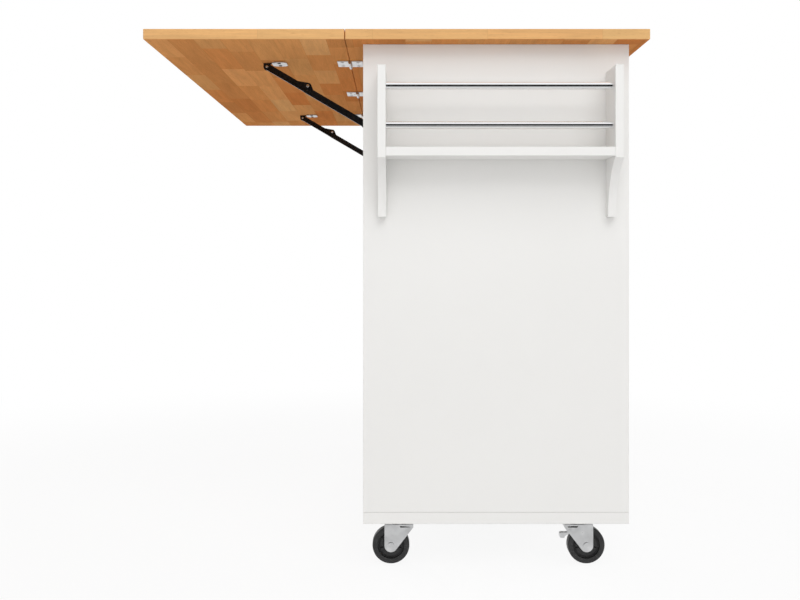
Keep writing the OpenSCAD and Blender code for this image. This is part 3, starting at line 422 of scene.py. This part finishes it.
def stay_foot():
    """The folding stay's foot: a zinc plate whose ear, on its low X side, is enamelled black."""
    finish = Finish("stay_foot", Specular_IOR_Level=0.3)
    haze = finish.effect(METAL_HAZE, Place=finish.place, Haze_Scale=60.0, Grain_Scale=900.0,
                         Gloss_Low=0.3, Gloss_High=0.42, Shade_Low=0.8)
    x, _, _ = finish.split(finish.place)
    plate = finish.math("GREATER_THAN", x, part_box("stay_leaf_brackets")[0][0] + EAR_WIDTH)
    colour = finish.mix(plate, shaded(finish, ENAMEL_BLACK, haze["Shade"]),
                        shaded(finish, (0.62, 0.62, 0.625), haze["Shade"]))
    finish.feed(finish.shader.inputs["Metallic"], plate)
    return finish.look(colour, haze["Roughness"], haze["Height"], bump=0.08, depth=0.0003)


def plated(finish, colour, gloss_low, gloss_high):
    """Gives a metal finish its colour, with the cloudy gloss and the fine grain of plate."""
    haze = finish.effect(METAL_HAZE, Place=finish.place, Haze_Scale=60.0, Grain_Scale=1100.0,
                         Gloss_Low=gloss_low, Gloss_High=gloss_high, Shade_Low=0.9)
    colour = finish.mix(1.0, colour, haze["Shade"], blend="MULTIPLY")
    return finish.look(colour, haze["Roughness"], haze["Height"], bump=0.08, depth=0.0002)


def plated_steel(name, colour, gloss_low, gloss_high):
    """Zinc or nickel plate of one colour."""
    return plated(Finish(name, metallic=1.0), (*colour, 1.0), gloss_low, gloss_high)


ZINC = plated_steel("bright_zinc", ZINC_COLOUR, *ZINC_GLOSS)


def leaf_screw_metal():
    """The leaf's screws: bright zinc in the hinges, and in the stays' feet near black as painted shade."""
    finish = Finish("leaf_screw_metal", metallic=1.0)
    x, _, _ = finish.split(finish.place)
    hinge = finish.math("GREATER_THAN", x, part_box("hinge_plates_leaf")[0][0])
    # Painted shade: the screws in the stays' feet are near black and stand in for the shade of the recess
    # there
    colour = finish.mix(hinge, (0.06, 0.06, 0.065, 1.0), (*ZINC_COLOUR, 1.0))
    return plated(finish, colour, *ZINC_GLOSS)


def chrome_rod():
    """Bright chrome with faint polishing lines round the rod."""
    finish = Finish("chrome_rod", metallic=1.0)
    lines = finish.noise(finish.vector("MULTIPLY", finish.place, (1.0, 0.03, 0.03)), 1600.0, detail=2.0)
    haze = finish.effect(METAL_HAZE, Place=finish.place, Haze_Scale=25.0, Grain_Scale=500.0,
                         Gloss_Low=0.03, Gloss_High=0.06, Shade_Low=0.97)
    roughness = finish.math("ADD", haze["Roughness"], finish.remap(lines, 0.4, 0.7, 0.0, 0.02))
    return finish.look(shaded(finish, (0.93, 0.933, 0.94), haze["Shade"]), roughness)


def wheel_rubber():
    """Dark grey moulded rubber, dusty where it rolls."""
    finish = Finish("wheel_rubber", Specular_IOR_Level=0.35)
    skin = finish.effect(ROLLED_SKIN, Place=finish.place, Ripple_Scale=1500.0, Cloud_Scale=45.0,
                         Gloss_Low=0.42, Gloss_High=0.6, Shade_Low=0.8)
    dust_and_shade = finish.remap(finish.noise(finish.place, 220.0, detail=3.0), 0.55, 0.8, 0.0, 0.3)
    rubber = shaded(finish, (0.034, 0.034, 0.035), skin["Shade"])
    colour = finish.mix(dust_and_shade, rubber, (0.10, 0.098, 0.094, 1.0))
    return finish.look(colour, skin["Roughness"], skin["Height"], bump=0.15, depth=0.0003)


def catch_plastic():
    """Matt black moulding of the door catches."""
    finish = Finish("catch_plastic", Specular_IOR_Level=0.4)
    skin = finish.effect(ROLLED_SKIN, Place=finish.place, Ripple_Scale=2200.0, Cloud_Scale=30.0,
                         Gloss_Low=0.5, Gloss_High=0.65, Shade_Low=0.85)
    return finish.look(shaded(finish, (0.03, 0.03, 0.032), skin["Shade"]), skin["Roughness"],
                       skin["Height"], bump=0.25, depth=0.0003)


def wear(name, material):
    """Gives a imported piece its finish."""
    for holder in NODES[name].material_slots:
        holder.material = material


# ---- Screws and rivets: trees of nodes that set a head on each vertex ----

# The way a screw's or rivet's head points
DOWN = (0.0, 0.0, -1.0)
LEAFWARD = (-1.0, 0.0, 0.0)
NEAR, FAR = (0.0, -1.0, 0.0), (0.0, 1.0, 0.0)

# Screws: head height, shank diameter and head diameter
SMALL_SCREW = (0.0011, 0.0036, 0.0068)
RACK_SCREW = (0.0025, 0.005, 0.01)
HEAD_SIDES = 32
SHANK_SIDES = 16
RIM_OF_HEIGHT = 0.45
CROWN_OF_RADIUS = 0.66
SLOT_LENGTH_OF_HEAD = 0.56
SLOT_WIDTH_OF_HEAD = 0.13
SLOT_DEPTH_OF_HEIGHT = 0.6

# Rivets: head diameter and crown height
PIVOT_RIVET = (0.0052, 0.0009)
ELBOW_RIVET = (0.0062, 0.001)
RIVET_SIDES = 24
RIVET_RINGS = 12
COLLAR_OF_HEAD = 0.07
# The stays' elbow with the leaf up
ELBOW_X, ELBOW_Z = -0.1688, 0.8724

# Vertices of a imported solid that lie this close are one
SAME_SPOT = 1e-6


def moved_up(graph, shape, height):
    """A shape moved along Z."""
    move = graph.join(0.0, 0.0, height)
    return graph.add("GeometryNodeTransform", {"Geometry": shape, "Translation": move}).outputs[0]


def along_facing(graph):
    """A rotation that points a shape's Z along each vertex's facing attribute."""
    facing = graph.add("GeometryNodeInputNamedAttribute", {"Name": "facing"}, data_type="FLOAT_VECTOR")
    upright = graph.add("FunctionNodeAlignRotationToVector", {"Vector": facing.outputs[0]}, axis="Z")
    return upright.outputs[0]


def set_on_points(graph, given, shape, rotation):
    """Copies of a shape on the given points, in the given finish."""
    placed = graph.add("GeometryNodeInstanceOnPoints", {
        "Points": given["Points"], "Instance": shape, "Rotation": rotation})
    solid = graph.add("GeometryNodeRealizeInstances", {"Geometry": placed.outputs[0]})
    coated = graph.add("GeometryNodeSetMaterial", {
        "Geometry": solid.outputs[0], "Material": given["Finish"]})
    return coated.outputs[0]


def screw_nodes():
    """Turns each vertex into a screw whose head points along its facing attribute."""
    graph, given, out = node_group(
        "Cross head screws", SHAPING,
        [("Points", SHAPE, None), ("Head Diameter", NUMBER, 0.0068), ("Head Height", NUMBER, 0.0011),
         ("Shank Diameter", NUMBER, 0.0036), ("Shank Length", NUMBER, 0.013),
         ("Slot Length", NUMBER, 0.0038), ("Slot Width", NUMBER, 0.0009), ("Slot Depth", NUMBER, 0.0007),
         ("Seed", WHOLE, 7), ("Finish", COATING, None)],
        [("Screws", SHAPE)])

    head_radius = graph.math("MULTIPLY", given["Head Diameter"], 0.5)
    rim = graph.math("MULTIPLY", given["Head Height"], RIM_OF_HEIGHT)
    crown = graph.math("SUBTRACT", given["Head Height"], rim)
    disc = graph.add("GeometryNodeMeshCylinder", {
        "Vertices": HEAD_SIDES, "Radius": head_radius, "Depth": rim})
    dome = graph.add("GeometryNodeMeshCone", {
        "Vertices": HEAD_SIDES, "Radius Top": graph.math("MULTIPLY", head_radius, CROWN_OF_RADIUS),
        "Radius Bottom": head_radius, "Depth": crown})
    half_rim = graph.math("MULTIPLY", rim, 0.5)
    head = graph.add("GeometryNodeMeshBoolean", operation="UNION", solver="EXACT")
    for piece, height in ((disc, half_rim), (dome, rim)):
        graph.feed(head.inputs["Mesh"], moved_up(graph, piece.outputs["Mesh"], height))

    cut_height = graph.math("MULTIPLY", given["Slot Depth"], 2.0)
    length, width = given["Slot Length"], given["Slot Width"]
    cross = graph.add("GeometryNodeMeshBoolean", operation="DIFFERENCE", solver="EXACT")
    graph.feed(cross.inputs["Mesh 1"], head.outputs["Mesh"])
    for x, y in ((length, width), (width, length)):
        slot = graph.add("GeometryNodeMeshCube", {"Size": graph.join(x, y, cut_height)})
        graph.feed(cross.inputs["Mesh 2"], moved_up(graph, slot.outputs["Mesh"], given["Head Height"]))

    shank = graph.add("GeometryNodeMeshCylinder", {
        "Vertices": SHANK_SIDES, "Radius": graph.math("MULTIPLY", given["Shank Diameter"], 0.5),
        "Depth": given["Shank Length"]})
    half_down = graph.math("MULTIPLY", given["Shank Length"], -0.5)
    screw = graph.add("GeometryNodeJoinGeometry")
    for shape in (moved_up(graph, shank.outputs["Mesh"], half_down), cross.outputs[0]):
        graph.feed(screw.inputs[0], shape)

    turn = graph.add("FunctionNodeRandomValue", data_type="FLOAT")
    graph.feed(turn.inputs[2], 0.0)
    graph.feed(turn.inputs[3], math.pi / 2)
    graph.feed(turn.inputs["Seed"], given["Seed"])
    twist = graph.add("FunctionNodeAxisAngleToRotation", {
        "Axis": (0.0, 0.0, 1.0), "Angle": turn.outputs[1]})
    turned = graph.add("FunctionNodeRotateRotation", {
        "Rotation": along_facing(graph), "Rotate By": twist.outputs[0]}, rotation_space="LOCAL")
    graph.feed(out["Screws"], set_on_points(graph, given, screw.outputs[0], turned.outputs[0]))
    return graph.tree


def rivet_nodes():
    """Turns each vertex into a domed rivet head whose crown points along its facing attribute."""
    graph, given, out = node_group(
        "Domed rivets", SHAPING,
        [("Points", SHAPE, None), ("Head Diameter", NUMBER, 0.006), ("Crown Height", NUMBER, 0.0012),
         ("Collar Width", NUMBER, 0.0006), ("Finish", COATING, None)],
        [("Rivets", SHAPE)])
    radius = graph.math("MULTIPLY", given["Head Diameter"], 0.5)
    inner = graph.math("SUBTRACT", radius, given["Collar Width"])
    ball = graph.add("GeometryNodeMeshUVSphere", {
        "Segments": RIVET_SIDES, "Rings": RIVET_RINGS, "Radius": inner})
    squash = graph.math("DIVIDE", given["Crown Height"], inner)
    dome = graph.add("GeometryNodeTransform", {
        "Geometry": ball.outputs["Mesh"], "Scale": graph.join(1.0, 1.0, squash)})
    collar = graph.add("GeometryNodeMeshCylinder", {
        "Vertices": RIVET_SIDES, "Radius": radius,
        "Depth": graph.math("MULTIPLY", given["Crown Height"], 0.5)})
    head = graph.add("GeometryNodeJoinGeometry")
    for piece in (dome, collar):
        graph.feed(head.inputs[0], piece.outputs[0])
    graph.feed(out["Rivets"], set_on_points(graph, given, head.outputs[0], along_facing(graph)))
    return graph.tree


def islands(node):
    """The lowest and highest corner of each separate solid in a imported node."""
    work = bmesh.new()
    work.from_mesh(NODES[node].data)
    bmesh.ops.remove_doubles(work, verts=work.verts, dist=SAME_SPOT)
    left, boxes = set(work.verts), []
    while left:
        reach, solid = [left.pop()], []
        while reach:
            vert = reach.pop()
            solid.append(vert.co.copy())
            for edge in vert.link_edges:
                other = edge.other_vert(vert)
                if other in left:
                    left.remove(other)
                    reach.append(other)
        boxes.append((Vector(map(min, zip(*solid))), Vector(map(max, zip(*solid)))))
    work.free()
    return sorted(boxes, key=lambda corners: tuple(corners[0]))


def plain_mesh(name, points, faces=(), facings=()):
    """An object of plain vertices and faces; facings are the vertices' facing attribute."""
    mesh = bpy.data.meshes.new(name)
    mesh.from_pydata([tuple(point) for point in points], [], list(faces))
    if facings:
        layer = mesh.attributes.new("facing", "FLOAT_VECTOR", "POINT")
        for entry, facing in zip(layer.data, facings):
            entry.vector = facing
    piece = bpy.data.objects.new(name, mesh)
    bpy.context.scene.collection.objects.link(piece)
    return piece


def run_nodes(piece, tree, **inputs):
    """Runs a tree on a piece with the given named inputs, and keeps the result as a plain mesh."""
    modifier = piece.modifiers.new("made", "NODES")
    modifier.node_group = tree
    for item in tree.interface.items_tree:
        label = item.name.replace(" ", "_")
        if item.item_type == "SOCKET" and item.in_out == "INPUT" and label in inputs:
            modifier[item.identifier] = inputs[label]
    state = bpy.context.evaluated_depsgraph_get()
    mesh = bpy.data.meshes.new_from_object(piece.evaluated_get(state))
    piece.modifiers.remove(modifier)
    piece.data = mesh


def make_screws(node, body, facing, size, finish, tree):
    """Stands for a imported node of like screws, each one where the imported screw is."""
    head_height, shank, head = size
    facing = Vector(facing)
    along = Vector(map(abs, facing))
    solids = islands(node)
    points = [(low + high) / 2 + facing * ((high - low).dot(along) / 2 - head_height)
              for low, high in solids]
    low, high = solids[-1]
    piece = plain_mesh(node + "_cross_head", points, facings=[facing] * len(points))
    run_nodes(piece, tree, Head_Diameter=head, Head_Height=head_height, Shank_Diameter=shank,
              Shank_Length=(high - low).dot(along) - head_height,
              Slot_Length=head * SLOT_LENGTH_OF_HEAD, Slot_Width=head * SLOT_WIDTH_OF_HEAD,
              Slot_Depth=head_height * SLOT_DEPTH_OF_HEIGHT, Finish=finish)
    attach(piece, body)
    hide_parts(node)


def make_rivets(name, body, heads, size, tree):
    """Domed heads on one body; each head is its middle and the side it faces."""
    diameter, crown = size
    piece = plain_mesh(name, [at for at, _ in heads], facings=[side for _, side in heads])
    run_nodes(piece, tree, Head_Diameter=diameter, Crown_Height=crown,
              Collar_Width=diameter * COLLAR_OF_HEAD, Finish=ZINC)
    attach(piece, body)


def make_stay_rivets(tree):
    """Crowns on the pivots that hold the stays, and on both faces of their elbows."""
    for node, body in (("stay_leaf_rivets", "leaf"), ("stay_cabinet_rivets", "cabinet")):
        heads = [(((low.x + high.x) / 2, low.y, (low.z + high.z) / 2), NEAR) for low, high in islands(node)]
        make_rivets(node + "_crowns", body, heads, PIVOT_RIVET, tree)
    for end in ("near", "far"):
        for arm, corner, side in (("upper", 0, NEAR), ("lower", 1, FAR)):
            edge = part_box("stay_%s_arm_%s" % (arm, end))[corner][1]
            make_rivets("elbow_crown_%s_%s" % (arm, end), "stay_%s_%s" % (arm, end),
                        [((ELBOW_X, edge, ELBOW_Z), side)], ELBOW_RIVET, tree)


def make_fixings():
    """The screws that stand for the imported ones, and the crowns of the stays' rivets."""
    tree = screw_nodes()
    for node, body, facing, size, finish in (
            ("top_screws", "cabinet", DOWN, SMALL_SCREW, ZINC),
            ("leaf_screws", "leaf", DOWN, SMALL_SCREW, leaf_screw_metal()),
            ("caster_screws", "cabinet", DOWN, SMALL_SCREW, ZINC),
            ("stay_screws", "cabinet", LEAFWARD, SMALL_SCREW, ZINC),
            ("rack_screws", "cabinet", FAR, RACK_SCREW, ZINC)):
        make_screws(node, body, facing, size, finish, tree)
    make_stay_rivets(rivet_nodes())


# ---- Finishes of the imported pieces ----

PAINTED = ("end_panel_near", "end_panel_far", "bottom_board", "partition_near", "partition_far",
           "back_panel", "top_rails", "shelf_near", "shelf_far", "rack_bracket_rear",
           "rack_bracket_front", "rack_shelf", "door_near", "door_far", "drawer_front_top",
           "drawer_front_middle", "drawer_front_bottom")
STAVED = ("main_top", "drop_leaf")
ENAMELLED = ("stay_cabinet_brackets", "stay_leaf_rivets", "stay_cabinet_rivets", "stay_upper_arm_near",
             "stay_upper_arm_far", "stay_lower_arm_near", "stay_lower_arm_far")
STAY_FEET = ("stay_leaf_brackets",)
PLATED = ("shelf_pins", "hinge_plates_fixed", "hinge_plates_leaf", "hinge_pins", "caster_plates",
          "caster_fork_rear_near", "caster_fork_rear_far", "caster_fork_front_near",
          "caster_fork_front_far", "brake_pedal_near", "brake_pedal_far", "door_pivots")
RODS = ("rack_rods",)
KNOBS = ("door_knob_near", "door_knob_far", "drawer_knob_top", "drawer_knob_middle",
         "drawer_knob_bottom")
WHEELS = ("caster_wheel_rear_near", "caster_wheel_rear_far", "caster_wheel_front_near",
          "caster_wheel_front_far")
PLY = ("drawer_box_top", "drawer_box_middle", "drawer_box_bottom", "drawer_runners")
CATCHES = ("door_catches",)


def dress_packed_pieces():
    """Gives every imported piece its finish."""
    for node in PAINTED:
        wear(node, white_paint(node))
    nickel = plated_steel("satin_nickel", (0.56, 0.55, 0.53), 0.24, 0.36)
    for nodes, finish in (
            (STAVED, butcher_block()), (ENAMELLED, black_enamel()), (STAY_FEET, stay_foot()),
            (PLATED, ZINC), (RODS, chrome_rod()), (KNOBS, nickel), (WHEELS, wheel_rubber()),
            (PLY, birch_ply()), (CATCHES, catch_plastic())):
        for node in nodes:
            wear(node, finish)


# ---- Studio ----

WHITE = (1.0, 1.0, 1.0, 1.0)
# One face over a mesh's four vertices
QUAD = [(0, 1, 2, 3)]
FLOOR_SIZE = 40.0
FLOOR_COLOUR = (0.93, 0.93, 0.93)
# The floor's share of shadow, full out to the near distance from the origin and gone at the far one
SHADOW_SHARE = 0.1
SHADOW_NEAR = 0.9
SHADOW_FAR = 2.2
AMBIENT = 0.4
# Name, place, aim, width, height and watts; fitted to the photograph's shading of the rack end
SOFTBOXES = (
    ("key", (0.9, -4.0, 3.8), (0.1, -0.5, 0.6), 3.6, 3.2, 88.5),
    ("front", (0.0, -5.4, 1.75), (0.0, -0.6, 0.8), 4.4, 3.2, 47.0),
    ("left", (-2.9, -3.6, 1.5), (0.0, -0.6, 0.7), 2.4, 2.6, 12.0),
    ("doors", (4.2, 0.9, 1.8), (0.3, 0.1, 0.5), 2.0, 2.0, 38.0),
    ("rear", (-2.9, 3.9, 2.0), (0.0, 0.3, 0.5), 2.0, 2.0, 55.0))
FLAG_REACH = 7.0
# Name, low and high edge as Y and Z, and colour
FLAGS = (
    ("black_flag", (-3.4, 0.02), (-3.4, 2.4), (0.012, 0.012, 0.012)),
    ("grey_card", (-1.2, 0.002), (-3.3, 0.002), (0.37, 0.37, 0.37)))


def seen_directly(graph):
    """1 for what the camera, a reflection or glass sees, 0 for light that the surface gives the object."""
    path = graph.add("ShaderNodeLightPath").outputs
    shown = graph.math("MAXIMUM", path["Is Camera Ray"], path["Is Glossy Ray"])
    return graph.math("MAXIMUM", shown, path["Is Transmission Ray"])


def make_floor():
    """A pale floor that shows as white but keeps a share of the object's shadow."""
    half = FLOOR_SIZE / 2
    floor = plain_mesh("floor", [(-half, -half, 0), (half, -half, 0), (half, half, 0), (-half, half, 0)],
                       QUAD)
    finish = Finish("pale_floor", roughness=0.9, Specular_IOR_Level=0.1)
    speck = finish.noise(finish.place, 300.0, detail=2.0)
    finish.look(shaded(finish, FLOOR_COLOUR, finish.remap(speck, *MOST_NOISE, 0.98, 1.0)))
    glow = finish.add("ShaderNodeEmission", {"Color": WHITE, "Strength": 1.0})
    away = finish.add("ShaderNodeVectorMath", {0: finish.place}, operation="LENGTH").outputs["Value"]
    shadow = finish.remap(away, SHADOW_NEAR, SHADOW_FAR, SHADOW_SHARE, 0.0, smooth=True)
    share = finish.math("MULTIPLY", seen_directly(finish), finish.math("SUBTRACT", 1.0, shadow))
    blend = finish.add("ShaderNodeMixShader", {
        0: share, 1: finish.shader.outputs[0], 2: glow.outputs[0]})
    finish.feed(finish.tree.nodes["Material Output"].inputs["Surface"], blend.outputs[0])
    floor.data.materials.append(finish.material)


def make_world():
    """White where it is seen, and a soft even light on the object."""
    world = bpy.data.worlds.new("studio")
    world.use_nodes = True
    bpy.context.scene.world = world
    graph = Graph(world.node_tree)
    background = world.node_tree.nodes["Background"]
    colour = graph.mix(seen_directly(graph), (AMBIENT, AMBIENT, AMBIENT, 1.0), WHITE)
    graph.feed(background.inputs["Color"], colour)
    background.inputs["Strength"].default_value = 1.0


def make_softbox(name, at, aim, width, height, power):
    """A rectangular area lamp that reflections don't see."""
    data = bpy.data.lights.new(name, "AREA")
    data.shape = "RECTANGLE"
    data.size = width
    data.size_y = height
    data.energy = power
    lamp = bpy.data.objects.new(name, data)
    lamp.location = at
    lamp.rotation_euler = (Vector(aim) - Vector(at)).to_track_quat("-Z", "Y").to_euler()
    lamp.visible_glossy = False
    bpy.context.scene.collection.objects.link(lamp)


def make_flag(name, low, high, shade):
    """A card across the studio that only reflections see, for the lines along the chrome rods."""
    flag = plain_mesh(name, [(-FLAG_REACH, *low), (FLAG_REACH, *low), (FLAG_REACH, *high),
                             (-FLAG_REACH, *high)], QUAD)
    finish = Finish(name + "_cloth", roughness=1.0, Specular_IOR_Level=0.0)
    weave = finish.noise(finish.place, 60.0)
    cloth = finish.look(shaded(finish, shade, finish.remap(weave, *MOST_NOISE, 0.9, 1.0)))
    flag.data.materials.append(cloth)
    flag.visible_camera = False
    flag.visible_diffuse = False
    flag.visible_shadow = False
    flag.visible_transmission = False
    flag.visible_volume_scatter = False


# ---- The island in its studio ----

bpy.context.scene.view_settings.view_transform = "Standard"
make_camera()
dress_packed_pieces()
make_fixings()
make_floor()
make_world()
for softbox in SOFTBOXES:
    make_softbox(*softbox)
for flag in FLAGS:
    make_flag(*flag)
